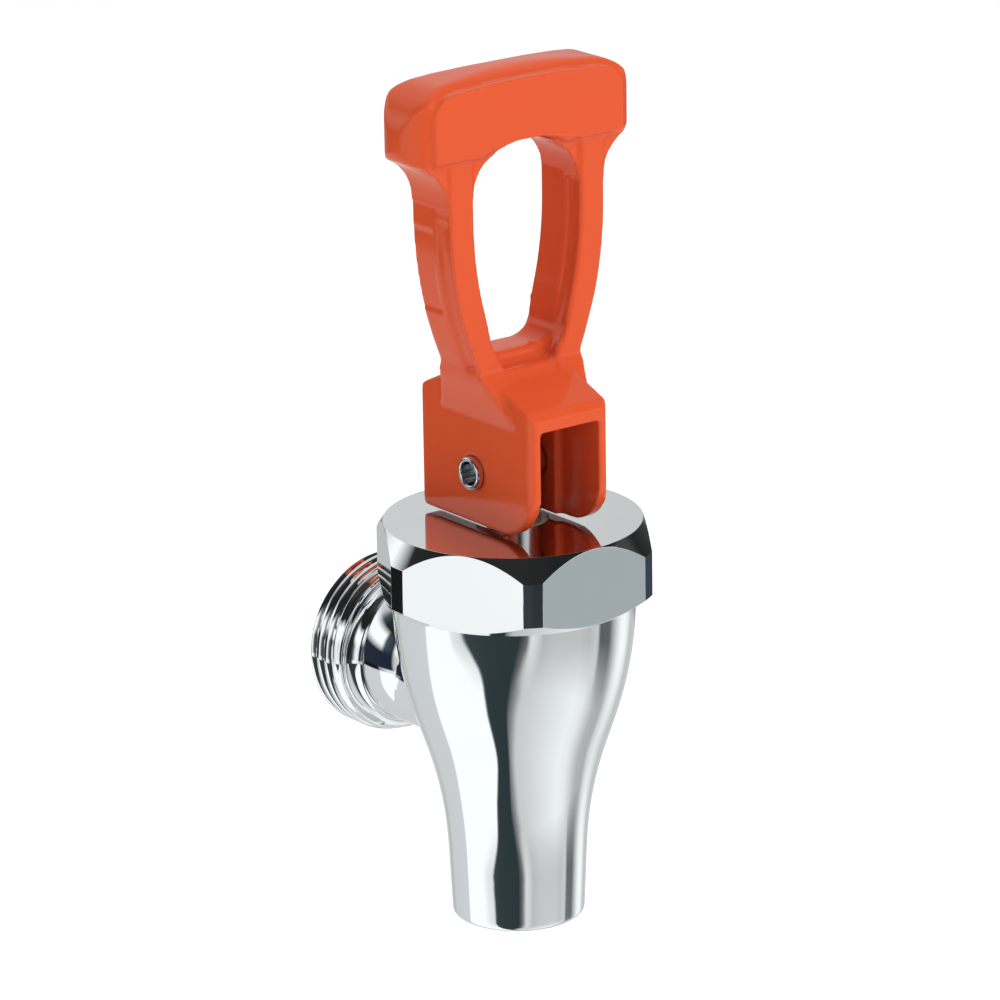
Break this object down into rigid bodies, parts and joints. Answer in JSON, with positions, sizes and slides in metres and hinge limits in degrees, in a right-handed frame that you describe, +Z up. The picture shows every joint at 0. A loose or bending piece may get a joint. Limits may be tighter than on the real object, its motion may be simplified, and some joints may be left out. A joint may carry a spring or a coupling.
{
  "type": "self-closing beverage dispensing faucet",
  "caption": "Self-closing urn faucet: a lever cams a sprung stem up to lift a silicone seat cup; threaded side inlet, flared body and round spout",
  "frame": {"origin": "centre of the spout's outlet, in the plane of its rim", "axes": "+Z up along the body's axis to the handle, +Y out along the threaded inlet shank, -Y towards the user, +X to the right of someone who looks along +Y"},
  "size_m": [0.042, 0.0504, 0.1252],
  "materials": {
    "chrome": "polished",
    "orange_plastic": "gloss",
    "steel": "satin",
    "silicone": "matte",
    "acetal": "satin"
  },
  "bodies": {
    "housing": {"body": "chrome", "bonnet": "chrome", "clamp_ring": "steel", "seat_cup": "silicone", "guide_bush": "acetal", "spring": "steel"},
    "lifter": {"spring_washer": "steel"},
    "stem": {"stem": "steel"},
    "lever": {"handle": "orange_plastic", "handle_pin": "steel"}
  },
  "joints": [
    {"name": "stem_lift", "type": "slide", "parent": "housing", "child": "lifter", "axis": [0, 0, 1], "range_m": [0, 0.00336], "stiffness_N_per_m": 100, "springref_m": -0.012, "deforming": ["spring", "seat_cup"]},
    {"name": "stem_swivel", "type": "hinge", "parent": "lifter", "child": "stem", "pos_m": [0, 0, 0.0671], "axis": [0, 0, 1], "continuous": true},
    {"name": "handle_tilt", "type": "hinge", "parent": "stem", "child": "lever", "pos_m": [0, 0, 0.0671], "axis": [1, 0, 0], "range_deg": [0, 35]}
  ],
  "couplings": [
    {"joint": "stem_lift", "follows": "handle_tilt", "m_per_rad": 0.0055}
  ]
}
